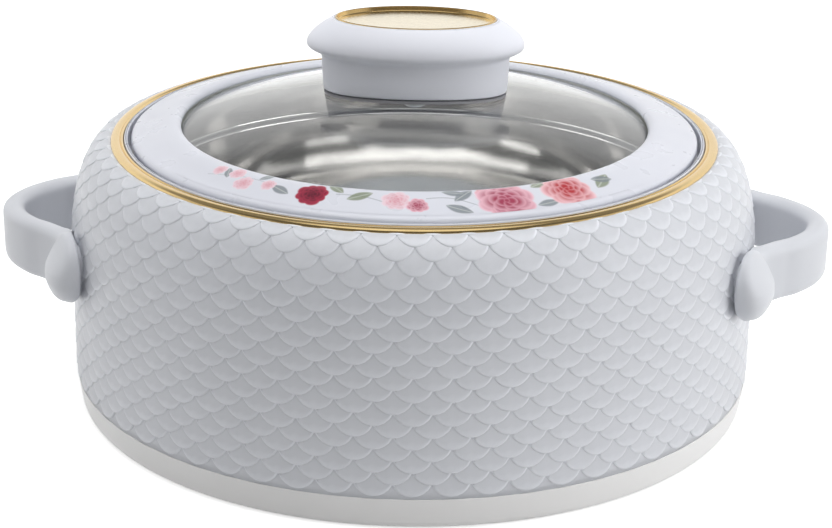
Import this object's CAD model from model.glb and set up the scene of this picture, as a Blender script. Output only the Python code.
"""Visual pieces of an insulated chapati casserole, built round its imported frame.

Profiles are lists of (radius, height, corner rounding) in millimetres; meshes are in metres,
with the same origin and axes as the frame: +Z up, handles along X.
"""

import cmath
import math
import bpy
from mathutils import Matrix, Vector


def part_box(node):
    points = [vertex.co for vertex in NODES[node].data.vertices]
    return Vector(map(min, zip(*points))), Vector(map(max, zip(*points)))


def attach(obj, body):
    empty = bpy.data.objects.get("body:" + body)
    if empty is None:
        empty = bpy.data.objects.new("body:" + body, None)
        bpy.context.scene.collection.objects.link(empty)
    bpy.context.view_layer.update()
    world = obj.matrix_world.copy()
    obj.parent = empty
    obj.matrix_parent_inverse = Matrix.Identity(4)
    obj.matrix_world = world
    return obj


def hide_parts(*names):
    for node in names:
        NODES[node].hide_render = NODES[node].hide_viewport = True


bl_info = {
    "name": "Chapati Casserole",
    "version": (1, 0, 0),
    "blender": (4, 5, 0),
    "location": "3D View > Sidebar > Casserole",
    "description": "Builds an insulated casserole with a fish-scale shell and a glass lid",
    "category": "Add Mesh",
}

from functools import partial

import bmesh
import bpy
import numpy as np
from mathutils import Matrix, Vector

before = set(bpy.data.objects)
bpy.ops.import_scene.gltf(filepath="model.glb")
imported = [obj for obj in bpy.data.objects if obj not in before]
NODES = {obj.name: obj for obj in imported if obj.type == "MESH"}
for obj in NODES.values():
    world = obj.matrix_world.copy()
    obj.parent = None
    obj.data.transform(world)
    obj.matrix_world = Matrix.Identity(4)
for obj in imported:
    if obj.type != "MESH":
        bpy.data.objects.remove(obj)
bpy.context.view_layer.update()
MM = 0.001


def top_of(node):
    """Highest level of a frame node, in millimetres."""
    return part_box(node)[1].z / MM


def bottom_of(node):
    """Lowest level of a frame node, in millimetres."""
    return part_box(node)[0].z / MM


def reach_of(node):
    """Largest radius of a turned frame node, in millimetres."""
    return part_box(node)[1].x / MM


# ---- sizes and colours
def length_setting(name, description, millimetres):
    """Length that a user may change."""
    return bpy.props.FloatProperty(name=name, description=description, default=millimetres * MM,
                                   unit="LENGTH")


class CasseroleShape(bpy.types.PropertyGroup):
    """Sizes that a user may change without leaving the frame."""

    scales_around: bpy.props.IntProperty(
        name="Scales Around", description="Fish scales in one row", default=62, min=12)
    scale_rows: bpy.props.IntProperty(
        name="Scale Rows", description="Rows from the base to the rim", default=22, min=1)
    scale_row_step: length_setting("Row Step", "Distance between rows, along the shell", 4.105)
    scale_first_row: length_setting("First Row", "Lowest row's tips above the shell's lower edge", 1.0)
    scale_relief: length_setting("Scale Relief", "Height of a scale's lower edge", 0.72)
    scale_arc: length_setting("Scale Arc Radius", "Radius of a scale's lower edge", 6.95)
    scale_bevel: length_setting("Scale Bevel", "Width of the sloped lower edge", 0.68)


def colour_setting(name, description, default):
    """Linear colour that a user may change."""
    return bpy.props.FloatVectorProperty(name=name, description=description, subtype="COLOR", size=3,
                                         default=default, min=0, max=1)


class CasseroleFinish(bpy.types.PropertyGroup):
    """Colours of the casserole's finishes."""

    shell: colour_setting("Shell", "Blue-grey moulded plastic", (0.66, 0.675, 0.715))
    base: colour_setting("Base", "Warm white moulded plastic", (0.87, 0.865, 0.86))
    lid: colour_setting("Lid", "Pale moulded plastic of lid ring and collar", (0.71, 0.725, 0.79))
    knob: colour_setting("Knob", "Pale moulded plastic of the knob", (0.82, 0.835, 0.90))
    gold: colour_setting("Gold", "Polished gold metallised trim", (0.84, 0.62, 0.30))
    plate: colour_setting("Plate", "Satin pale gold on top of the knob", (0.97, 0.87, 0.68))
    steel: colour_setting("Steel", "Spun stainless steel", (0.66, 0.65, 0.64))
    inner_ring: colour_setting("Glass Retainer", "Olive-grey ring under the glass", (0.30, 0.29, 0.24))


# ---- mesh helpers
def rounded(corners, steps=5):
    """Closed profile with its corners rounded and each straight run held near its ends."""
    points = []
    count = len(corners)
    for index, (r, z, rounding) in enumerate(corners):
        corner = complex(r, z)
        before = complex(*corners[index - 1][:2]) - corner
        after = complex(*corners[(index + 1) % count][:2]) - corner
        if rounding == 0:
            points.append((r, z))
            continue
        half = abs(cmath.phase(before / after)) / 2
        cut = min(rounding / math.tan(half), 0.49 * abs(before), 0.49 * abs(after))
        start = corner + before / abs(before) * cut
        end = corner + after / abs(after) * cut
        middle = before / abs(before) + after / abs(after)
        centre = corner + middle / abs(middle) * cut / math.cos(half)
        turn = (end - centre) / (start - centre)
        hold_in = start + before / abs(before) * min(0.3, 0.2 * abs(before))
        hold_out = end + after / abs(after) * min(0.3, 0.2 * abs(after))
        arc = [centre + (start - centre) * cmath.exp(1j * cmath.phase(turn) * k / steps)
               for k in range(steps + 1)]
        points += [(p.real, p.imag) for p in [hold_in, *arc, hold_out]]
    return points


def bezier(start, leave, arrive, end, count=14):
    """Points of a cubic curve from start to end, without its last point."""
    curve = []
    for k in range(count):
        t = k / count
        weights = ((1 - t) ** 3, 3 * t * (1 - t) ** 2, 3 * t * t * (1 - t), t ** 3)
        curve.append(tuple(sum(w * p[axis] for w, p in zip(weights, (start, leave, arrive, end)))
                           for axis in (0, 1)))
    return curve


def new_piece(name, mesh):
    """Object for a mesh, linked to the scene."""
    piece = bpy.data.objects.new(name, mesh)
    bpy.context.scene.collection.objects.link(piece)
    return piece


def smooth_mesh(name, bm):
    """Mesh from a bmesh: doubles merged, normals out, smooth shading."""
    bmesh.ops.remove_doubles(bm, verts=bm.verts, dist=1e-7)
    bmesh.ops.dissolve_degenerate(bm, edges=bm.edges, dist=1e-8)
    bmesh.ops.recalc_face_normals(bm, faces=bm.faces)
    for face in bm.faces:
        face.smooth = True
    mesh = bpy.data.meshes.new(name)
    bm.to_mesh(mesh)
    bm.free()
    return mesh


def turned_bmesh(profile, segments=256, aspect=1.0, lift=None):
    """Surface of revolution of a closed profile; lift gives a point's height from its place."""
    bm = bmesh.new()
    rings = []
    for step in range(segments):
        angle = 2 * math.pi * step / segments
        ring = []
        for r, z in profile:
            x, y = r * math.cos(angle), r * aspect * math.sin(angle)
            height = lift(x, y, z) if lift else z
            ring.append(bm.verts.new((x * MM, y * MM, height * MM)))
        rings.append(ring)
    for here, there in zip(rings, rings[1:] + rings[:1]):
        for k in range(len(profile)):
            if profile[k][0] > 1e-6 or profile[k - 1][0] > 1e-6:
                bm.faces.new((here[k - 1], here[k], there[k], there[k - 1]))
    return bm


def turned_piece(name, profile, **options):
    """Piece turned from a closed profile."""
    return new_piece(name, smooth_mesh(name, turned_bmesh(profile, **options)))


def finish_piece(piece, body, slot, finish, *nodes):
    """Give a piece its finish, body, slot and the frame nodes it stands for."""
    piece.data.materials.clear()
    piece.data.materials.append(finish_named(finish))
    if nodes:
        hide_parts(*nodes)
    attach(piece, body)


def refinish(piece, finish, chosen):
    """Give a second finish to the faces whose centre, in millimetres, is chosen."""
    piece.data.materials.append(finish_named(finish))
    for face in piece.data.polygons:
        if chosen(*(face.center / MM)):
            face.material_index = 1


def take_in(bm, other):
    """Add one bmesh to another and free it."""
    mesh = bpy.data.meshes.new("taken in")
    other.to_mesh(mesh)
    other.free()
    bm.from_mesh(mesh)
    bpy.data.meshes.remove(mesh)


def apply_modifiers(piece):
    """Replace a piece's mesh by its evaluated one and drop its modifiers."""
    bpy.context.view_layer.update()
    result = piece.evaluated_get(bpy.context.evaluated_depsgraph_get())
    mesh = bpy.data.meshes.new_from_object(result)
    mesh.name = piece.name
    piece.modifiers.clear()
    piece.data = mesh


# ---- materials
def node_material(name):
    """New node material, its node tree and its Principled shader."""
    material = bpy.data.materials.new(name)
    material.use_nodes = True
    tree = material.node_tree
    return material, tree, tree.nodes["Principled BSDF"]


def set_inputs(tree, node, values):
    """Give a node's inputs their values or links."""
    for key, value in values.items():
        socket = node.inputs[key]
        if isinstance(value, bpy.types.NodeSocket):
            tree.links.new(value, socket)
        else:
            socket.default_value = value


def add_node(tree, kind, inputs=None, **settings):
    """Node with its settings and its inputs."""
    node = tree.nodes.new(kind)
    for key, value in settings.items():
        setattr(node, key, value)
    set_inputs(tree, node, inputs or {})
    return node


def math_node(tree, operation, a, b=0.0):
    """Result of a math node."""
    return add_node(tree, "ShaderNodeMath", {0: a, 1: b}, operation=operation).outputs[0]


def object_place(tree):
    """Object coordinates."""
    return add_node(tree, "ShaderNodeTexCoord").outputs["Object"]


def noise(tree, place, scale, detail):
    """Noise value at a place."""
    return add_node(tree, "ShaderNodeTexNoise",
                    {"Vector": place, "Scale": scale, "Detail": detail}).outputs["Fac"]


def object_noise(tree, scale, detail=2.0):
    """Noise value on object coordinates."""
    return noise(tree, object_place(tree), scale, detail)


def ranged(tree, value, low, high):
    """Map a 0.3..0.7 noise value to a range."""
    return add_node(tree, "ShaderNodeMapRange", {"Value": value, "From Min": 0.3, "From Max": 0.7,
                                                 "To Min": low, "To Max": high}).outputs["Result"]


def bumped(tree, shader, *layers):
    """Lay bumps of (height, strength, distance) over one another on a shader."""
    normal = None
    for height, strength, distance in layers:
        inputs = {"Height": height, "Strength": strength, "Distance": distance}
        if normal is not None:
            inputs["Normal"] = normal
        normal = add_node(tree, "ShaderNodeBump", inputs).outputs["Normal"]
    set_inputs(tree, shader, {"Normal": normal})


def tinted(tree, colour, factor, spread):
    """Colour that varies by a small share, darker to lighter."""
    dark = [c * (1 - spread) for c in colour] + [1]
    light = [min(1, c * (1 + spread)) for c in colour] + [1]
    mix = add_node(tree, "ShaderNodeMix", {"Factor": factor, "A": dark, "B": light}, data_type="RGBA")
    return next(s for s in mix.outputs if s.type == "RGBA")


def moulded_plastic(name, colour, roughness=0.3, grain=0.04, spread=0.02, shaded=False, flow=0.05):
    """Moulded plastic: faint mottling, uneven gloss, a fine grain and the waves of its flow.

    Where it is shaded, the mesh's shade attribute makes it lighter or darker.
    """
    material, tree, shader = node_material(name)
    tint = tinted(tree, colour, object_noise(tree, 35), spread)
    if shaded:
        shade = add_node(tree, "ShaderNodeAttribute", attribute_name="shade").outputs["Fac"]
        share = math_node(tree, "ADD", shade, 1.0)
        tint = add_node(tree, "ShaderNodeVectorMath", {0: tint, "Scale": share},
                        operation="SCALE").outputs[0]
    handling = object_noise(tree, 90, 4)
    set_inputs(tree, shader, {
        "Base Color": tint, "IOR": 1.5,
        "Roughness": ranged(tree, handling, roughness - 0.06, roughness + 0.08)})
    bumped(tree, shader, (object_noise(tree, 2600, 1), grain, 0.2 * MM),
           (object_noise(tree, 140, 1), flow, 0.6 * MM))
    return material


def metal(name, colour, roughness, scratch=0.0, metallic=1.0):
    """Polished or plated metal, with fine handling marks where it is scratched."""
    material, tree, shader = node_material(name)
    marks = object_noise(tree, 500, 5)
    set_inputs(tree, shader, {
        "Base Color": tinted(tree, colour, object_noise(tree, 60), 0.04), "Metallic": metallic,
        "Roughness": ranged(tree, marks, roughness * 0.8, roughness * 1.25)})
    if scratch:
        bumped(tree, shader, (marks, scratch, 0.1 * MM))
    return material


def spun_steel(name, colour):
    """Stainless steel with the concentric lines of spinning and a slight waviness."""
    material, tree, shader = node_material(name)
    split = add_node(tree, "ShaderNodeSeparateXYZ", {"Vector": object_place(tree)}).outputs
    flat = add_node(tree, "ShaderNodeCombineXYZ", {"X": split["X"], "Y": split["Y"]}).outputs[0]
    radius = add_node(tree, "ShaderNodeVectorMath", {0: flat}, operation="LENGTH").outputs["Value"]
    section = add_node(tree, "ShaderNodeCombineXYZ", {"X": radius, "Y": split["Z"]}).outputs[0]
    broad = noise(tree, section, 160, 2)
    set_inputs(tree, shader, {"Base Color": tinted(tree, colour, broad, 0.06), "Metallic": 1.0,
                              "Roughness": ranged(tree, broad, 0.05, 0.1)})
    bumped(tree, shader, (noise(tree, section, 1400, 3), 0.04, 0.1 * MM),
           (object_noise(tree, 28, 1), 0.25, 1.0 * MM))
    return material


def clear_glass(name):
    """Clear glass that lets lamp light through to what lies under it."""
    material, tree, shader = node_material(name)
    set_inputs(tree, shader, {
        "Base Color": (0.97, 0.98, 0.975, 1), "Transmission Weight": 1.0, "IOR": 1.46,
        "Roughness": ranged(tree, object_noise(tree, 45, 3), 0.0, 0.015)})
    bumped(tree, shader, (object_noise(tree, 25, 0), 0.02, 0.5 * MM))
    ray = add_node(tree, "ShaderNodeLightPath").outputs
    clear = add_node(tree, "ShaderNodeBsdfTransparent", {"Color": (0.9, 0.93, 0.93, 1)}).outputs[0]
    mix = add_node(tree, "ShaderNodeMixShader", {0: ray["Is Shadow Ray"], 1: shader.outputs[0], 2: clear})
    set_inputs(tree, tree.nodes["Material Output"], {"Surface": mix.outputs[0]})
    return material


def printed_plastic(name):
    """Printed film whose colours are a point attribute."""
    material, tree, shader = node_material(name)
    printed = add_node(tree, "ShaderNodeAttribute", attribute_name="print_colour").outputs["Color"]
    set_inputs(tree, shader, {"Base Color": printed,
                              "Roughness": ranged(tree, object_noise(tree, 60, 2), 0.26, 0.34)})
    return material


def poured_foam(name):
    """Poured foam: open cells and a skin with pits."""
    material, tree, shader = node_material(name)
    cells = add_node(tree, "ShaderNodeTexVoronoi", {"Vector": object_place(tree), "Scale": 900})
    colour = tinted(tree, (0.78, 0.66, 0.36), object_noise(tree, 60), 0.1)
    set_inputs(tree, shader, {"Base Color": colour, "Roughness": 0.9})
    bumped(tree, shader, (cells.outputs["Distance"], 0.5, 0.5 * MM))
    return material


FINISHES = {
    "shell plastic": (moulded_plastic, "shell", dict(roughness=0.36, spread=0.015, shaded=True)),
    "base plastic": (moulded_plastic, "base", dict(roughness=0.34, spread=0.015)),
    "lid plastic": (moulded_plastic, "lid", dict(grain=0.0, spread=0.008, flow=0.02)),
    "knob plastic": (moulded_plastic, "knob", dict(roughness=0.34, grain=0.02, spread=0.01, flow=0.03)),
    "retainer plastic": (moulded_plastic, "inner_ring", dict(roughness=0.5, grain=0.06, spread=0.05)),
    "white silicone": (moulded_plastic, (0.74, 0.74, 0.72), dict(roughness=0.55, grain=0.1, spread=0.03)),
    "smoky silicone": (moulded_plastic, (0.32, 0.32, 0.34), dict(roughness=0.5, grain=0.1, spread=0.03)),
    "gold plating": (metal, "gold", dict(roughness=0.17, scratch=0.02)),
    "satin gold": (metal, "plate", dict(roughness=0.22)),
    "ground steel": (metal, (0.60, 0.635, 0.69), dict(roughness=0.42, metallic=0.5)),
    "zinc plating": (metal, (0.55, 0.56, 0.57), dict(roughness=0.35, scratch=0.1)),
    "insert brass": (metal, (0.72, 0.5, 0.2), dict(roughness=0.3, scratch=0.1)),
    "spun steel": (spun_steel, "steel", {}),
    "lid glass": (clear_glass, None, {}),
    "lid print": (printed_plastic, None, {}),
    "poured foam": (poured_foam, None, {}),
}


def finish_named(name):
    """The named material, made once; a colour is given by itself or by its setting's name."""
    found = bpy.data.materials.get(name)
    if found:
        return found
    maker, colour, look = FINISHES[name]
    if isinstance(colour, str):
        colour = getattr(bpy.context.scene.casserole_finish, colour)
    return maker(name, colour, **look) if colour is not None else maker(name)


# ---- shell with its scales
RELIEF_ROOM = 0.75      # the plain wall lies this far inside the frame's, to leave room for scales
WALL_HEIGHT = 48.6      # upright part of the shell, above the base
WALL_DRAFT = 0.3        # what the upright part leans in
SHELL_WALL = 2.0
INNER_TOP = 88          # the inner face is drawn up to this level
RIM_STEP = [(104.9, 95.3), (107.5, 95.3), (107.5, 92.5)]
SCALE_LAP = 2.1         # length of a scale, in rows
STRETCH_FROM = 74 * MM  # above this length of the wall, rows grow further apart
STRETCH = 0.14
PHASE = 0.06            # shift of all rows round the shell, in scales
SCALE_SHADES = (-0.6, 0.12, 0.22, 0.14, 0.0, -0.02, -0.06)  # crease, rounded lip, then the face


def shell_outline(inset=0.0, count=40):
    """Outer wall and shoulder of the shell from its lower edge to its rim, in millimetres."""
    low = top_of("base_cover")
    wall = reach_of("outer_shell")
    rim = reach_of("gold_rim_trim")
    rim_height = top_of("outer_shell")
    start = low + WALL_HEIGHT
    points = [(wall - inset - WALL_DRAFT * (z - low) / WALL_HEIGHT, z)
              for z in np.linspace(low, start, 13)[:-1]]
    width = wall - WALL_DRAFT - inset - rim
    for angle in np.linspace(0, math.pi / 2, count):
        points.append((rim + width * math.cos(angle),
                       start + (rim_height - inset - start) * math.sin(angle)))
    return points


def scale_pitch(shape):
    """Width of one scale at the wall, in metres."""
    return 2 * math.pi * reach_of("outer_shell") * MM / shape.scales_around


def scale_tile(shape):
    """One flat fish scale: x across, y up from its tip, z out; its top lies under the next rows."""
    half = scale_pitch(shape) / 2
    arc, row, bevel = shape.scale_arc, shape.scale_row_step, shape.scale_bevel
    step_down = shape.scale_relief / SCALE_LAP

    def level(point):
        return shape.scale_relief * (1 - point.y / (SCALE_LAP * row)) + 0.02 * MM

    columns = []
    for share in np.linspace(-1, 1, 9):
        turn = math.asin(min(1, half / arc)) * share
        foot = Vector((arc * math.sin(turn), arc * (1 - math.cos(turn))))
        inward = Vector((-math.sin(turn), math.cos(turn)))
        beside = max(0.0, half - abs(foot.x))
        top = Vector((foot.x, row + arc - math.sqrt(arc ** 2 - beside ** 2) + 0.5 * MM))
        edge = foot + inward * bevel
        middle = foot + inward * bevel * 0.45
        face = [edge.lerp(top, way) for way in (0, 0.35, 0.7, 1)]
        columns.append([(foot, -0.1 * MM), (foot, level(foot) - 1.1 * step_down),
                        (middle, level(middle) - 0.4 * step_down)] + [(p, level(p)) for p in face])
    bm = bmesh.new()
    shade = bm.verts.layers.float.new("shade")
    grid = [[bm.verts.new((p.x, p.y, z)) for p, z in column] for column in columns]
    for line in grid:
        for vert, value in zip(line, SCALE_SHADES):
            vert[shade] = value
    for left, right in zip(grid, grid[1:]):
        for k in range(1, len(left)):
            bm.faces.new((left[k - 1], right[k - 1], right[k], left[k]))
    for face in bm.faces:
        face.smooth = True
    mesh = bpy.data.meshes.new("scale tile")
    bm.to_mesh(mesh)
    bm.free()
    return new_piece("scale tile", mesh)


def outline_curve(points):
    """Profile as a poly curve in the XZ plane."""
    curve = bpy.data.curves.new("shell outline", "CURVE")
    curve.dimensions = "3D"
    spline = curve.splines.new("POLY")
    spline.points.add(len(points) - 1)
    for point, (r, z) in zip(spline.points, points):
        point.co = (r * MM, 0, z * MM, 1)
    return new_piece("shell outline", curve)


def scales_tree():
    """Node tree that lays rows of tiles flat, wraps them on a turned outline and joins the shell."""
    tree = bpy.data.node_groups.new("Fish Scales", "GeometryNodeTree")
    face = tree.interface
    face.new_socket("Geometry", in_out="INPUT", socket_type="NodeSocketGeometry")
    for name, kind in (("Tile", "Object"), ("Outline", "Object"), ("Around", "Int"), ("Rows", "Int"),
                       ("Pitch", "Float"), ("Row Step", "Float"), ("First Row", "Float"),
                       ("Stretch From", "Float"), ("Stretch", "Float"), ("Fade Start", "Float"),
                       ("Fade End", "Float"), ("Material", "Material")):
        face.new_socket(name, in_out="INPUT", socket_type="NodeSocket" + kind)
    face.new_socket("Geometry", in_out="OUTPUT", socket_type="NodeSocketGeometry")
    given = tree.nodes.new("NodeGroupInput").outputs
    result = tree.nodes.new("NodeGroupOutput")
    combined = partial(math_node, tree)

    total = combined("MULTIPLY", given["Around"], given["Rows"])
    index = add_node(tree, "GeometryNodeInputIndex").outputs[0]
    row = combined("FLOOR", combined("DIVIDE", combined("ADD", index, 0.5), given["Around"]))
    column = combined("SUBTRACT", index, combined("MULTIPLY", row, given["Around"]))
    shift = combined("SUBTRACT", combined("MULTIPLY", combined("MODULO", row, 2.0), 0.5), PHASE)
    across = combined("MULTIPLY", combined("ADD", column, shift), given["Pitch"])
    up = combined("ADD", combined("MULTIPLY", row, given["Row Step"]), given["First Row"])
    place = add_node(tree, "ShaderNodeCombineXYZ", {"X": across, "Y": up}).outputs[0]
    points = add_node(tree, "GeometryNodePoints", {"Count": total, "Position": place})
    tile = add_node(tree, "GeometryNodeObjectInfo", {"Object": given["Tile"]})
    laid = add_node(tree, "GeometryNodeInstanceOnPoints",
                    {"Points": points.outputs[0], "Instance": tile.outputs["Geometry"]})
    flat = add_node(tree, "GeometryNodeRealizeInstances", {"Geometry": laid.outputs[0]})

    here = add_node(tree, "GeometryNodeInputPosition").outputs[0]
    part = add_node(tree, "ShaderNodeSeparateXYZ", {"Vector": here}).outputs
    beyond = combined("MAXIMUM", combined("SUBTRACT", part["Y"], given["Stretch From"]), 0.0)
    length = combined("ADD", combined("MAXIMUM", part["Y"], 0.0),
                      combined("MULTIPLY", beyond, given["Stretch"]))
    outline = add_node(tree, "GeometryNodeObjectInfo", {"Object": given["Outline"]})
    sample = add_node(tree, "GeometryNodeSampleCurve", {"Curves": outline.outputs["Geometry"]},
                      mode="LENGTH", use_all_curves=True)
    tree.links.new(length, sample.inputs["Length"])
    out = add_node(tree, "ShaderNodeVectorMath", {0: (0, 1, 0), 1: sample.outputs["Tangent"]},
                   operation="CROSS_PRODUCT").outputs[0]
    fade = add_node(tree, "ShaderNodeMapRange",
                    {"Value": length, "From Min": given["Fade Start"], "From Max": given["Fade End"],
                     "To Min": 1.0, "To Max": 0.0}).outputs["Result"]
    proud = combined("MULTIPLY", part["Z"], fade)
    raised = add_node(tree, "ShaderNodeVectorMath", {0: out, "Scale": proud},
                      operation="SCALE").outputs[0]
    on_outline = add_node(tree, "ShaderNodeVectorMath", {0: sample.outputs["Position"], 1: raised},
                          operation="ADD").outputs[0]
    girth = combined("MULTIPLY", given["Pitch"], given["Around"])
    angle = combined("DIVIDE", combined("MULTIPLY", part["X"], 2 * math.pi), girth)
    wrapped = add_node(tree, "ShaderNodeVectorRotate", {"Vector": on_outline, "Angle": angle},
                       rotation_type="Z_AXIS").outputs[0]
    moved = add_node(tree, "GeometryNodeSetPosition",
                     {"Geometry": flat.outputs[0], "Position": wrapped})
    join = add_node(tree, "GeometryNodeJoinGeometry")
    tree.links.new(given["Geometry"], join.inputs[0])
    tree.links.new(moved.outputs[0], join.inputs[0])
    real = add_node(tree, "GeometryNodeRealizeInstances", {"Geometry": join.outputs[0]})
    painted = add_node(tree, "GeometryNodeSetMaterial",
                       {"Geometry": real.outputs[0], "Material": given["Material"]})
    tree.links.new(painted.outputs[0], result.inputs["Geometry"])
    return tree


def set_tree_inputs(modifier, values):
    """Set a node modifier's inputs by their sockets' identifiers."""
    for item in modifier.node_group.interface.items_tree:
        if item.item_type == "SOCKET" and item.in_out == "INPUT" and item.name in values:
            modifier[item.identifier] = values[item.name]


class CASSEROLE_OT_shell(bpy.types.Operator):
    """Body shell with its overlapping rows of fish scales"""

    bl_idname = "casserole.shell"
    bl_label = "Shell and Scales"

    def execute(self, context):
        shape = context.scene.casserole_shape
        outside = shell_outline(RELIEF_ROOM)
        inside = [(r - SHELL_WALL, z) for r, z in reversed(shell_outline(RELIEF_ROOM, 12))
                  if z < INNER_TOP]
        rim = [(RIM_STEP[0][0], outside[-1][1]), *RIM_STEP]
        length = sum(math.dist(p, q) for p, q in zip(outside, outside[1:])) * MM
        piece = turned_piece("shell_with_scales", outside + rim + inside, segments=248)
        tile = scale_tile(shape)
        curve = outline_curve(outside)
        modifier = piece.modifiers.new("Fish Scales", "NODES")
        modifier.node_group = scales_tree()
        set_tree_inputs(modifier, {
            "Tile": tile, "Outline": curve, "Around": shape.scales_around, "Rows": shape.scale_rows,
            "Pitch": scale_pitch(shape), "Row Step": shape.scale_row_step,
            "First Row": shape.scale_first_row, "Stretch From": STRETCH_FROM, "Stretch": STRETCH,
            "Fade Start": length - 0.8 * MM, "Fade End": length - 0.1 * MM,
            "Material": finish_named("shell plastic")})
        apply_modifiers(piece)
        for helper in (tile, curve):
            bpy.data.objects.remove(helper)
        finish_piece(piece, "casserole_body", "shell_plastic", "shell plastic", "outer_shell")
        return {"FINISHED"}


class CASSEROLE_OT_base(bpy.types.Operator):
    """Base band, foot ring and recessed underside"""

    bl_idname = "casserole.base"
    bl_label = "Base"

    def execute(self, context):
        top = top_of("base_cover")
        reach = reach_of("base_cover") - 0.05
        wall, bore, ceiling, recess = reach - 2.9, 8.1, 4.6, 2.2
        profile = rounded([(reach - 1.6, 0.0, 3.2), (reach, top, 0.25), (wall, top, 0.2),
                           (wall, ceiling, 0.5), (bore, ceiling, 0.3), (bore, recess, 0.3),
                           (reach - 11.4, recess, 0.6), (reach - 10.6, 0.0, 0.6)], 6)
        piece = turned_piece("base_band", profile, segments=320)
        finish_piece(piece, "casserole_body", "base_plastic", "base plastic", "base_cover")
        return {"FINISHED"}


class CASSEROLE_OT_rim(bpy.types.Operator):
    """Gold trim and the collar that the lid drops into"""

    bl_idname = "casserole.rim"
    bl_label = "Rim"

    def execute(self, context):
        outer = reach_of("gold_rim_trim")
        low = bottom_of("gold_rim_trim")
        edge = low + 1.7
        bead = bezier((outer, edge - 0.4), (outer, edge + 1.2), (outer - 3.4, edge + 1.5),
                      (outer - 3.5, edge + 0.25), 16)
        line = bezier((outer - 3.65, edge + 0.25), (outer - 3.7, edge + 1.1),
                      (outer - 4.8, edge + 1.1), (outer - 4.8, edge - 0.2), 10)
        trim = bead + line + [(outer - 4.8, edge - 0.2), (outer - 4.8, low), (outer, low)]
        piece = turned_piece("gold_trim", trim, segments=320)
        finish_piece(piece, "casserole_body", "gold_metallised", "gold plating", "gold_rim_trim")
        bore = outer - 6.2
        lip = top_of("rim_collar")
        collar = rounded([(bore, lip, 0.5), (bore, 91.0, 1.0), (bore - 6.2, 91.0, 0.3),
                          (bore - 6.2, 84.0, 0.4), (bore - 4.4, 84.0, 0.4), (bore - 4.4, 88.8, 0.3),
                          (bore + 2.2, 88.8, 0.4), (bore + 2.2, 92.0, 0.2), (outer + 2.4, 92.0, 0.2),
                          (outer + 2.4, 93.9, 0.2), (outer, 93.9, 0.2), (outer, 95.1, 0.2),
                          (outer - 4.9, 95.1, 0.1), (outer - 4.9, lip, 0.5)], 4)
        piece = turned_piece("collar", collar, segments=320)
        finish_piece(piece, "casserole_body", "lid_plastic", "lid plastic", "rim_collar")
        return {"FINISHED"}


class CASSEROLE_OT_liner(bpy.types.Operator):
    """Spun steel bowl with its stacking step and flange"""

    bl_idname = "casserole.liner"
    bl_label = "Steel Liner"

    def execute(self, context):
        low = bottom_of("steel_liner")
        top = top_of("steel_liner")
        wall, floor, step, mouth, flange = 0.8, 91.2, 77.8, 95.8, 101.3
        profile = rounded([(0.0, low + wall, 0), (floor, low + wall, 28), (93.4, step, 1.2),
                           (mouth, step + 1.2, 1.2), (mouth, top, 0.7), (flange, top, 0.3),
                           (flange, top - wall, 0.3), (mouth + wall, top - wall, 0.4),
                           (mouth + wall, step + 0.8, 1.2), (93.4 + wall, step - 0.4, 1.2),
                           (floor + wall, low, 28.8), (0.0, low, 0)], 16)
        piece = turned_piece("steel_bowl", profile, segments=256)
        finish_piece(piece, "casserole_body", "liner_steel", "spun steel", "steel_liner")
        refinish(piece, "ground steel", lambda x, y, z: math.hypot(x, y) < 60 and z > low + wall / 2)
        return {"FINISHED"}


# ---- lid
DOME_TOP = top_of("lid_glass")
DOME_RADIUS = 265.6
GLASS_WALL = 3.2
GLASS_BORE = 87.9       # of the ring, round the glass
SEAT = 94.4             # level of the ring's and the holder's lower edges


def dome(radius, drop=0.0):
    """Height of the glass dome's surface at a radius, or of a surface a distance below it."""
    return DOME_TOP - DOME_RADIUS + math.sqrt((DOME_RADIUS - drop) ** 2 - radius ** 2)


def ring_top():
    """Top of the lid ring from its outer shoulder to its bead, in millimetres."""
    edge = reach_of("lid_ring")
    crest = top_of("lid_ring")
    shoulder = bezier((edge, crest - 6.2), (edge, crest - 4.0), (edge - 1.2, crest - 3.75),
                      (edge - 3.0, crest - 3.35), 8)
    rise = bezier((edge - 3.0, crest - 3.35), (edge - 8.5, crest - 2.0), (edge - 12.2, crest),
                  (edge - 15.6, crest), 26)
    bead = bezier((edge - 15.6, crest), (edge - 17.4, crest), (edge - 18.1, crest - 1.2),
                  (edge - 17.9, crest - 2.5), 10)
    return shoulder + rise + bead


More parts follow.
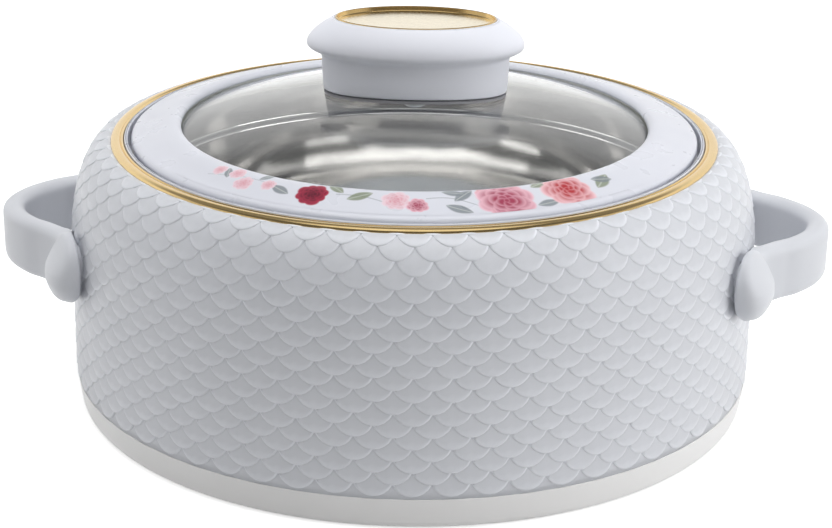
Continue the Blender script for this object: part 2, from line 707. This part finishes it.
class CASSEROLE_OT_lid(bpy.types.Operator):
    """Lid ring, domed glass and the ring that holds it"""

    bl_idname = "casserole.lid"
    bl_label = "Lid and Glass"

    def execute(self, context):
        edge = reach_of("lid_ring")
        low = bottom_of("lid_ring")
        under = rounded([(GLASS_BORE, 100.3, 0.2), (GLASS_BORE, SEAT, 0.2), (GLASS_BORE + 2, SEAT, 0.4),
                         (GLASS_BORE + 2, 98.6, 1.0), (edge - 2.2, 96.2, 1.2), (edge - 2.2, low, 0.4),
                         (edge, low, 0.5)], 4)
        piece = turned_piece("lid_ring_moulding", ring_top() + under, segments=320)
        finish_piece(piece, "lid", "lid_plastic", "lid plastic", "lid_ring")
        radii = np.linspace(4.0, 86.6, 40)
        above = [(r, dome(r)) for r in radii]
        below = [(r, dome(r, GLASS_WALL)) for r in reversed(radii)]
        rim = [(87.0, dome(86.9) - 0.4), (87.1, dome(87.0) - 1.6), (87.0, dome(86.9, GLASS_WALL) + 0.4)]
        piece = turned_piece("glass_dome", above + rim + below, segments=256)
        finish_piece(piece, "lid", "lid_glass", "lid glass", "lid_glass")
        under_glass = GLASS_WALL + 0.05
        holder = rounded([(87.75, dome(87.7, under_glass), 0.1), (87.75, SEAT, 0.3),
                          (84.6, SEAT + 0.4, 0.5), (84.5, dome(84.6, under_glass), 0.2)], 3)
        piece = turned_piece("glass_holder", holder, segments=256)
        finish_piece(piece, "lid", "retainer_plastic", "retainer plastic", "glass_retainer")
        return {"FINISHED"}


# ---- printed flowers
def blended(canvas, colour, cover):
    """Lay a colour over the canvas where cover is above zero."""
    cover = np.clip(cover, 0, 1)[:, None]
    return canvas * (1 - cover) + np.asarray(colour) * cover


def soft(distance, width):
    """1 inside a shape, 0 outside, with a soft edge of the given width."""
    return np.clip(0.5 - distance / width, 0, 1)


# Rings of a bloom from its rim to its heart: distance from the heart, petals and petal size,
# the lengths as shares of the bloom's radius.
PETAL_RINGS = ((0.66, 8, 0.40), (0.5, 7, 0.36), (0.33, 6, 0.29), (0.18, 5, 0.2), (0.0, 1, 0.12))


def paint_bloom(canvas, u, v, at, size, deep, pale, turn):
    """Open flower: rings of overlapping petals, deep at the heart and pale at their rims."""
    from_heart = np.hypot(u - at[0], v - at[1]) / size
    for ring, (reach, petals, width) in enumerate(PETAL_RINGS):
        for k in range(petals):
            angle = turn * (ring + 1) + 2 * math.pi * k / petals
            wide = size * width * (1 + 0.16 * math.sin(2.4 * k + ring))
            away = np.hypot(u - at[0] - size * reach * math.cos(angle),
                            v - at[1] - size * reach * math.sin(angle)) / wide
            shade = np.clip(0.7 * from_heart + 0.9 * (away - 0.62), 0, 1)[:, None]
            tint = np.asarray(deep) * (1 - shade) + np.asarray(pale) * shade
            canvas = blended(canvas, tint, soft(away - 1, 0.22))
            line = soft(np.abs(away - 1.05) - 0.02, 0.12) * 0.22 * (from_heart < 0.8)
            canvas = blended(canvas, deep, line)
    return canvas


def paint_leaf(canvas, u, v, at, length, width, turn, colour):
    """Pointed leaf with a pale midrib."""
    du, dv = u - at[0], v - at[1]
    along = (du * math.cos(turn) + dv * math.sin(turn)) / length
    aside = (-du * math.sin(turn) + dv * math.cos(turn)) / width
    half = np.where((along > 0) & (along < 1), np.sin(np.pi * np.clip(along, 0, 1)) ** 0.8, 0)
    cover = soft(np.abs(aside) - half, 0.25) * (half > 0)
    canvas = blended(canvas, colour, cover * 0.85)
    rib = soft(np.abs(aside) - 0.07, 0.15) * (half > 0.2)
    return blended(canvas, (0.80, 0.83, 0.80), rib * 0.6)


def paint_stem(canvas, u, v, start, end, bend, colour):
    """Thin curved stem between two points."""
    for t in np.linspace(0, 1, 40):
        x = start[0] + (end[0] - start[0]) * t
        y = start[1] + (end[1] - start[1]) * t + bend * math.sin(math.pi * t)
        canvas = blended(canvas, colour, soft(np.hypot(u - x, v - y) - 0.18, 0.3) * 0.8)
    return canvas


MAUVE = ((0.36, 0.04, 0.09), (0.84, 0.52, 0.60))
CRIMSON = ((0.45, 0.02, 0.03), (0.86, 0.56, 0.60))
BLUSH = ((0.72, 0.36, 0.42), (0.84, 0.70, 0.76))
PLUM = ((0.10, 0.005, 0.02), (0.42, 0.03, 0.07))
OLIVE = (0.20, 0.24, 0.14)
SLATE = (0.20, 0.23, 0.25)

# Places are (along, across) the ring in millimetres, from the middle of its front.
STEMS = (  # start, end, bend
    ((-72, -1), (-44, 2), 2.0), ((-22, 2), (-4, -1), 1.5), ((8, 2), (24, -2), 2))
LEAVES = (  # stalk end, direction, length, colour
    ((17, 0.5), 0.7, 9, SLATE), ((14, -1.5), -0.5, 9, SLATE), ((21, 4), 2.9, 8, SLATE),
    ((45, 4.5), 0.3, 9, OLIVE), ((43, -5), 0.1, 8, SLATE), ((68, -2), 0.5, 10, OLIVE),
    ((69, 2.5), -0.3, 8, SLATE), ((-18, 0), 0.5, 9, OLIVE), ((-20, 3), 2.5, 8, OLIVE),
    ((-38, -1), 2.8, 8, SLATE), ((-52, 3), 0.9, 6, SLATE), ((-64, 0), 2.2, 6, SLATE))
BLOOMS = (  # heart, radius, colours, turn
    ((-70, 2.5), 2.6, BLUSH, 0.3), ((-62, 3.5), 3.0, BLUSH, 1.3), ((-56, -0.5), 3.4, BLUSH, 0.9),
    ((-47, 1.5), 2.6, BLUSH, 2.1), ((-2, 1), 4.6, BLUSH, 0.5), ((5, -1.5), 3.4, MAUVE, 1.1),
    ((-30, 0.5), 5.2, PLUM, 0.4), ((28, 4.5), 3.2, CRIMSON, 0.9), ((34, -0.8), 9.4, MAUVE, 0.25),
    ((57, 0.6), 8.6, CRIMSON, 0.7))
FILM_INNER, FILM_OUTER = 86.4, 99.8
FILM_LIFT = 0.07


def flower_colours(u, v, ground):
    """Colours of the lid's garland at places along (u) and across (v) the ring, in millimetres."""
    canvas = np.tile(np.asarray(ground), (len(u), 1))
    for start, end, bend in STEMS:
        canvas = paint_stem(canvas, u, v, start, end, bend, SLATE)
    for at, turn, length, tone in LEAVES:
        canvas = paint_leaf(canvas, u, v, at, length, length * 0.22, turn, tone)
    for at, size, tones, turn in BLOOMS:
        canvas = paint_bloom(canvas, u, v, at, size, *tones, turn)
    return canvas


class CASSEROLE_OT_print(bpy.types.Operator):
    """Printed film with a garland of blossoms on the front of the lid ring"""

    bl_idname = "casserole.print"
    bl_label = "Lid Print"

    def execute(self, context):
        under = sorted(p for p in ring_top() if FILM_INNER - 0.8 < p[0] < FILM_OUTER + 0.6)
        radii = np.linspace(FILM_INNER, FILM_OUTER, 54)
        heights = np.interp(radii, *np.transpose(under)) + FILM_LIFT
        angles = np.radians(np.linspace(-143, -37, 700))
        bm = bmesh.new()
        layer = bm.verts.layers.float_color.new("print_colour")
        along, across = np.meshgrid((angles + math.pi / 2) * radii.mean(), radii - radii.mean(),
                                    indexing="ij")
        painted = flower_colours(along.ravel(), -across.ravel(), context.scene.casserole_finish.lid)
        painted = painted.reshape(len(angles), len(radii), 3)
        grid = []
        for angle, colours in zip(angles, painted):
            line = []
            for r, z, colour in zip(radii, heights, colours):
                vert = bm.verts.new((r * math.cos(angle) * MM, r * math.sin(angle) * MM, z * MM))
                vert[layer] = (*colour, 1)
                line.append(vert)
            grid.append(line)
        for here, there in zip(grid, grid[1:]):
            for k in range(len(radii) - 1):
                bm.faces.new((here[k], here[k + 1], there[k + 1], there[k]))
        piece = new_piece("lid_garland", smooth_mesh("lid_garland", bm))
        finish_piece(piece, "lid", "lid_plastic", "lid print")
        return {"FINISHED"}


# ---- knob
class CASSEROLE_OT_knob(bpy.types.Operator):
    """Oval knob with its gold plate"""

    bl_idname = "casserole.knob"
    bl_label = "Knob"

    def execute(self, context):
        half = reach_of("knob_body")
        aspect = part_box("knob_body")[1].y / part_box("knob_body")[1].x
        top = top_of("knob_body")
        cap_half = reach_of("knob_gold_cap")
        flange = top - 9.1
        neck = (half - 5.3, top - 14)
        rim = rounded([(cap_half, top - 2.5, 0.1), (cap_half + 0.1, top, 0.1),
                       (cap_half + 1.0, top - 0.1, 0.4)], 2)[2:]
        slope = bezier((cap_half + 1.0, top - 0.15), (cap_half + 5.0, top - 2.2),
                       (half, flange + 3.2), (half, flange), 18)
        under = bezier((half, flange), (half, flange - 2.6), (neck[0] + 0.5, neck[1] + 2.6), neck, 16)
        low = DOME_TOP + 1.5
        side = [neck, (neck[0] - 0.3, top - 19), (neck[0] - 0.6, low + 0.6), (neck[0] - 0.8, low + 0.15)]
        ends = [(neck[0] - 1.1, low), (0, low), (0, top - 2.5), (cap_half, top - 2.5)]

        def seat(x, y, z):
            drop = DOME_TOP - dome(math.hypot(x, y))
            share = min(1.0, max(0.0, (neck[1] - z) / (neck[1] - low)))
            return z - drop * share

        piece = turned_piece("knob_moulding", slope + under + side + ends + rim, segments=192,
                             aspect=aspect, lift=seat)
        finish_piece(piece, "lid", "lid_plastic", "knob plastic", "knob_body")
        crown = top_of("knob_gold_cap")
        plate = rounded([(0, crown - 1.6, 0), (cap_half - 0.75, crown - 1.6, 0.35),
                         (cap_half - 0.65, crown, 0.25), (cap_half, crown, 0.25),
                         (cap_half, crown - 2.8, 0.1), (0, crown - 2.8, 0)], 4)
        piece = turned_piece("knob_plate", plate, segments=192, aspect=aspect)
        finish_piece(piece, "lid", "gold_metallised", "gold plating", "knob_gold_cap")
        refinish(piece, "satin gold", lambda x, y, z: math.hypot(x, y / aspect) < cap_half - 1.0)
        return {"FINISHED"}


# ---- handles
STRAP_LINE = ((148.2, 0.0), (144.9, 12.4), (137.5, 22.4), (129.8, 28.4), (121.3, 37.3))
STRAP_LEVEL = 57.5
STRAP_HALF_THICKNESS, STRAP_HALF_HEIGHT, STRAP_ROUNDING = 4.1, 10.45, 3.4
TUCK = 2.6              # the strap's inner side is drawn to the shell where it is nearer than this
FOOT_ANGLE = math.asin(47.8 / 125)
FOOT_BACK = 126.1
FOOT_LEVEL = 59.6
FOOT_RADIUS = 12.1


def strap_centres():
    """Strap's centreline from foot to foot, in millimetres."""
    half = [Vector(p) for p in STRAP_LINE]
    for radius, angle in ((FOOT_BACK + 2.0, FOOT_ANGLE), (FOOT_BACK + 1.3, FOOT_ANGLE + 0.012)):
        half.append(Vector((radius * math.cos(angle), radius * math.sin(angle))))
    line = [Vector((p.x, -p.y)) for p in reversed(half[1:])] + half
    line = [2 * line[0] - line[1], *line, 2 * line[-1] - line[-2]]
    centres = []
    for a, b, c, d in zip(line, line[1:], line[2:], line[3:]):
        for t in np.linspace(0, 1, 11)[:-1]:
            centres.append(0.5 * (2 * b + (c - a) * t + (2 * a - 5 * b + 4 * c - d) * t * t
                                  + (3 * b - a - 3 * c + d) * t ** 3))
    return centres + [line[-2]]


def strap_bmesh():
    """Rounded strap swept along its centreline, kept off the shell beside its feet."""
    centres = strap_centres()
    outline = rounded([(a * STRAP_HALF_THICKNESS, h * STRAP_HALF_HEIGHT, STRAP_ROUNDING)
                       for a, h in ((-1, -1), (1, -1), (1, 1), (-1, 1))], 6)
    shell = shell_outline()
    levels = np.array([STRAP_LEVEL + h for a, h in outline])
    clear = (np.interp(levels, [z for r, z in shell], [r for r, z in shell])
             + np.interp(levels, (58, 67), (0.6, 0.0)))
    bm = bmesh.new()
    rings = []
    for k, centre in enumerate(centres):
        ahead = centres[min(k + 1, len(centres) - 1)] - centres[max(k - 1, 0)]
        side = Vector((ahead.y, -ahead.x)).normalized()
        ring = []
        for (a, h), level, least in zip(outline, levels, clear):
            point = centre + side * a
            gap = max(0.0, point.length - least)
            if a < 0 and gap < TUCK:
                gap *= (gap / TUCK) ** 2
            point *= (least + gap) / point.length
            ring.append(bm.verts.new((point.x * MM, point.y * MM, level * MM)))
        rings.append(ring)
    for here, there in zip(rings, rings[1:]):
        for k in range(len(outline)):
            bm.faces.new((here[k - 1], here[k], there[k], there[k - 1]))
    bm.faces.new(rings[0])
    bm.faces.new(rings[-1])
    return bm


def foot_bmesh(side):
    """Round foot with a domed face on its spigot, square to the shell."""
    domed = [(FOOT_RADIUS * math.cos(a) ** 0.8, FOOT_BACK + 3.4 + 7.0 * math.sin(a) ** 0.8)
             for a in np.linspace(0, math.pi / 2, 21)]
    back = rounded([(0.0, FOOT_BACK, 0), (FOOT_RADIUS, FOOT_BACK, 1.2), domed[0] + (0,)], 5)
    spigot = [(0.0, 124.0), (7.0, 124.0), (7.0, 127.5), (0.0, 127.5)]
    bm = turned_bmesh(back + domed[1:], 96)
    rim = FOOT_BACK + 1.5
    for vert in bm.verts:
        proud = vert.co.z / MM - rim
        if proud > 0:
            height = -vert.co.x / MM
            proud *= np.interp(height, (-12, -4, 0, 6, FOOT_RADIUS), (0.9, 1.0, 0.92, 0.6, 0.35))
            vert.co.z = (rim + proud) * MM
    take_in(bm, turned_bmesh(spigot, 64))
    place = (Matrix.Rotation(side * FOOT_ANGLE, 4, "Z")
             @ Matrix.Translation((0, 0, FOOT_LEVEL * MM)) @ Matrix.Rotation(math.pi / 2, 4, "Y"))
    bmesh.ops.transform(bm, matrix=place, verts=bm.verts)
    return bm


def handle_piece(name, turn):
    """Strap and feet merged into one moulding, turned to its side."""
    bm = strap_bmesh()
    for side in (1, -1):
        take_in(bm, foot_bmesh(side))
    bmesh.ops.transform(bm, matrix=Matrix.Rotation(turn, 4, "Z"), verts=bm.verts)
    piece = new_piece(name, smooth_mesh(name, bm))
    merge = piece.modifiers.new("Merge", "REMESH")
    merge.mode = "VOXEL"
    merge.voxel_size = 0.5 * MM
    merge.use_smooth_shade = True
    soften = piece.modifiers.new("Soften", "SMOOTH")
    soften.factor = 0.5
    soften.iterations = 5
    apply_modifiers(piece)
    return piece


class CASSEROLE_OT_handles(bpy.types.Operator):
    """Two loop handles, each a rounded strap on two round feet"""

    bl_idname = "casserole.handles"
    bl_label = "Handles"

    def execute(self, context):
        for name, node, turn in (("handle_loop_right", "handle_right", 0),
                                 ("handle_loop_left", "handle_left", math.pi)):
            piece = handle_piece(name, turn)
            finish_piece(piece, "casserole_body", "shell_plastic", "shell plastic", node)
        return {"FINISHED"}


FITTINGS = {
    "foam_port_plug": "base plastic", "insulation_foam": "poured foam",
    "liner_seal": "white silicone", "glass_gasket": "white silicone",
    "knob_pad": "smoky silicone", "knob_soft_washer": "white silicone",
    "knob_steel_washer": "zinc plating", "knob_screw": "zinc plating",
    "knob_insert": "insert brass", "left_handle_screws": "zinc plating",
    "right_handle_screws": "zinc plating", "left_handle_washers": "zinc plating",
    "right_handle_washers": "zinc plating"}


class CASSEROLE_OT_fittings(bpy.types.Operator):
    """Finishes for the frame's own screws, washers, seals and foam"""

    bl_idname = "casserole.fittings"
    bl_label = "Fittings"

    def execute(self, context):
        for node, finish in FITTINGS.items():
            mesh = NODES[node].data
            mesh.materials.clear()
            mesh.materials.append(finish_named(finish))
        return {"FINISHED"}


# ---- stage
AIM = (0, 0, 0.05)
LAMPS = (  # name, place, size, power
    ("top", (0, 0, 1.2), 1.2, 12.2),
    ("top front", (0, -0.8, 1.1), 0.8, 2.4),
    ("right", (1.06, -0.28, 0.35), 0.8, 6.8),
    ("left", (-1.1, 0, 0.5), 0.8, 3.2))
FLOOR_HALF = 4
FLOOR_WHITE = {"From Min": 0.3, "From Max": 1.2, "To Min": 0.62, "To Max": 1.0}  # by distance
ROOM_FRONT, ROOM_LIGHT = 0.14, 0.03     # what metal and glass see in front; what lights the rest
CAMERA_PLACE = (0, -0.70195, 0.30717)   # before its turn round the object
CAMERA_LENS = 86.92
CAMERA_TURN, CAMERA_PAN, CAMERA_TILT, CAMERA_ROLL = 2.3, -0.0946, 90 - 20.427, 0.7545  # degrees


def rotation(degrees, axis):
    """Rotation matrix about an axis."""
    return Matrix.Rotation(math.radians(degrees), 3, axis)


def soft_lamp(name, place, size, power):
    """Square softbox lamp at a place, aimed at the object and not seen in its metal."""
    data = bpy.data.lights.new(name, "AREA")
    data.shape = "SQUARE"
    data.size = size
    data.energy = power
    lamp = new_piece(name, data)
    lamp.location = place
    lamp.rotation_euler = (Vector(AIM) - Vector(place)).to_track_quat("-Z", "Y").to_euler()
    lamp.visible_glossy = False


def room_world(scene):
    """White to the camera; metal and glass see a bright wall behind, a lit ceiling and a dim front.

    Matt surfaces are lit by the lamps and get next to no light from the room.
    """
    scene.world = bpy.data.worlds.new("room")
    scene.world.use_nodes = True
    sky = scene.world.node_tree
    back = sky.nodes["Background"]
    back.inputs["Color"].default_value = (1, 1, 1, 1)
    ray = add_node(sky, "ShaderNodeLightPath").outputs
    where = add_node(sky, "ShaderNodeTexCoord").outputs["Generated"]
    way = add_node(sky, "ShaderNodeSeparateXYZ", {"Vector": where}).outputs
    joined = partial(math_node, sky)

    def band(value, start, end, low, high):
        """Smooth step of a value."""
        return add_node(sky, "ShaderNodeMapRange", {"Value": value, "From Min": start, "From Max": end,
                                                    "To Min": low, "To Max": high},
                        interpolation_type="SMOOTHSTEP").outputs["Result"]

    behind = joined("MULTIPLY", band(way["Y"], -0.1, 0.2, 0.0, 1.0), band(way["Z"], 0.45, 0.65, 1.0, 0.25))
    above = band(way["Z"], 0.88, 0.95, 0.0, 1.0)
    wide = joined("ABSOLUTE", way["X"], 0.0)
    aside = joined("MULTIPLY", band(wide, 0.6, 0.85, 0.0, 0.7), band(way["Z"], 0.3, 0.6, 1.0, 0.3))
    level = joined("MAXIMUM", joined("MAXIMUM", behind, above), joined("MAXIMUM", aside, ROOM_FRONT))
    mirrored = joined("MAXIMUM", ray["Is Glossy Ray"], ray["Is Transmission Ray"])
    room = joined("MAXIMUM", joined("MULTIPLY", mirrored, level), ROOM_LIGHT)
    sky.links.new(joined("MAXIMUM", room, ray["Is Camera Ray"]), back.inputs["Strength"])


def pale_floor():
    """Floor that looks white to the camera, metal and glass, and keeps the object's shadow."""
    mesh = bpy.data.meshes.new("floor")
    corners = [(x * FLOOR_HALF, y * FLOOR_HALF, 0) for x, y in ((-1, -1), (1, -1), (1, 1), (-1, 1))]
    mesh.from_pydata(corners, [], [(0, 1, 2, 3)])
    material, tree, shader = node_material("pale floor")
    set_inputs(tree, shader, {"Base Color": (0.75, 0.75, 0.75, 1), "Roughness": 0.9})
    away = add_node(tree, "ShaderNodeVectorMath", {0: object_place(tree)},
                    operation="LENGTH").outputs["Value"]
    level = add_node(tree, "ShaderNodeMapRange", {"Value": away, **FLOOR_WHITE}).outputs["Result"]
    ray = add_node(tree, "ShaderNodeLightPath").outputs
    mirrored = math_node(tree, "MAXIMUM", ray["Is Glossy Ray"], ray["Is Transmission Ray"])
    seen = math_node(tree, "MAXIMUM", ray["Is Camera Ray"], mirrored)
    light = add_node(tree, "ShaderNodeEmission", {"Color": (1, 1, 1, 1),
                                                  "Strength": math_node(tree, "MULTIPLY", seen, level)})
    glow = add_node(tree, "ShaderNodeAddShader", {0: shader.outputs[0], 1: light.outputs[0]})
    set_inputs(tree, tree.nodes["Material Output"], {"Surface": glow.outputs[0]})
    mesh.materials.append(material)
    return new_piece("floor", mesh)


class CASSEROLE_OT_stage(bpy.types.Operator):
    """Pale floor, softboxes, room light and the camera"""

    bl_idname = "casserole.stage"
    bl_label = "Stage"

    def execute(self, context):
        scene = context.scene
        scene.view_settings.view_transform = "Standard"
        pale_floor()
        room_world(scene)
        for lamp in LAMPS:
            soft_lamp(*lamp)
        data = bpy.data.cameras.new("camera")
        data.sensor_width = 36
        data.lens = CAMERA_LENS
        camera = new_piece("camera", data)
        camera.location = rotation(CAMERA_TURN, "Z") @ Vector(CAMERA_PLACE)
        camera.rotation_euler = (rotation(CAMERA_TURN + CAMERA_PAN, "Z") @ rotation(CAMERA_TILT, "X")
                                 @ rotation(CAMERA_ROLL, "Z")).to_euler()
        scene.camera = camera
        return {"FINISHED"}


# ---- add-on
class CASSEROLE_PT_panel(bpy.types.Panel):
    """Sidebar list of the casserole's pieces"""

    bl_idname = "CASSEROLE_PT_panel"
    bl_label = "Casserole"
    bl_space_type = "VIEW_3D"
    bl_region_type = "UI"
    bl_category = "Casserole"

    def draw(self, context):
        for group in (context.scene.casserole_shape, context.scene.casserole_finish):
            for name in group.__annotations__:
                self.layout.prop(group, name)
        for operator in OPERATORS:
            self.layout.operator(operator.bl_idname)


OPERATORS = (CASSEROLE_OT_stage, CASSEROLE_OT_shell, CASSEROLE_OT_base, CASSEROLE_OT_rim,
             CASSEROLE_OT_liner, CASSEROLE_OT_lid, CASSEROLE_OT_print, CASSEROLE_OT_knob,
             CASSEROLE_OT_handles, CASSEROLE_OT_fittings)
CLASSES = (CasseroleShape, CasseroleFinish, *OPERATORS, CASSEROLE_PT_panel)


def register():
    """Register the classes and hang the settings on the scene."""
    for cls in CLASSES:
        bpy.utils.register_class(cls)
    bpy.types.Scene.casserole_shape = bpy.props.PointerProperty(type=CasseroleShape)
    bpy.types.Scene.casserole_finish = bpy.props.PointerProperty(type=CasseroleFinish)


def unregister():
    """Undo register."""
    del bpy.types.Scene.casserole_finish
    del bpy.types.Scene.casserole_shape
    for cls in reversed(CLASSES):
        bpy.utils.unregister_class(cls)


def main():
    """Build every piece in order."""
    register()
    for operator in OPERATORS:
        category, name = operator.bl_idname.split(".")
        getattr(getattr(bpy.ops, category), name)()


if __name__ == "__main__":
    main()
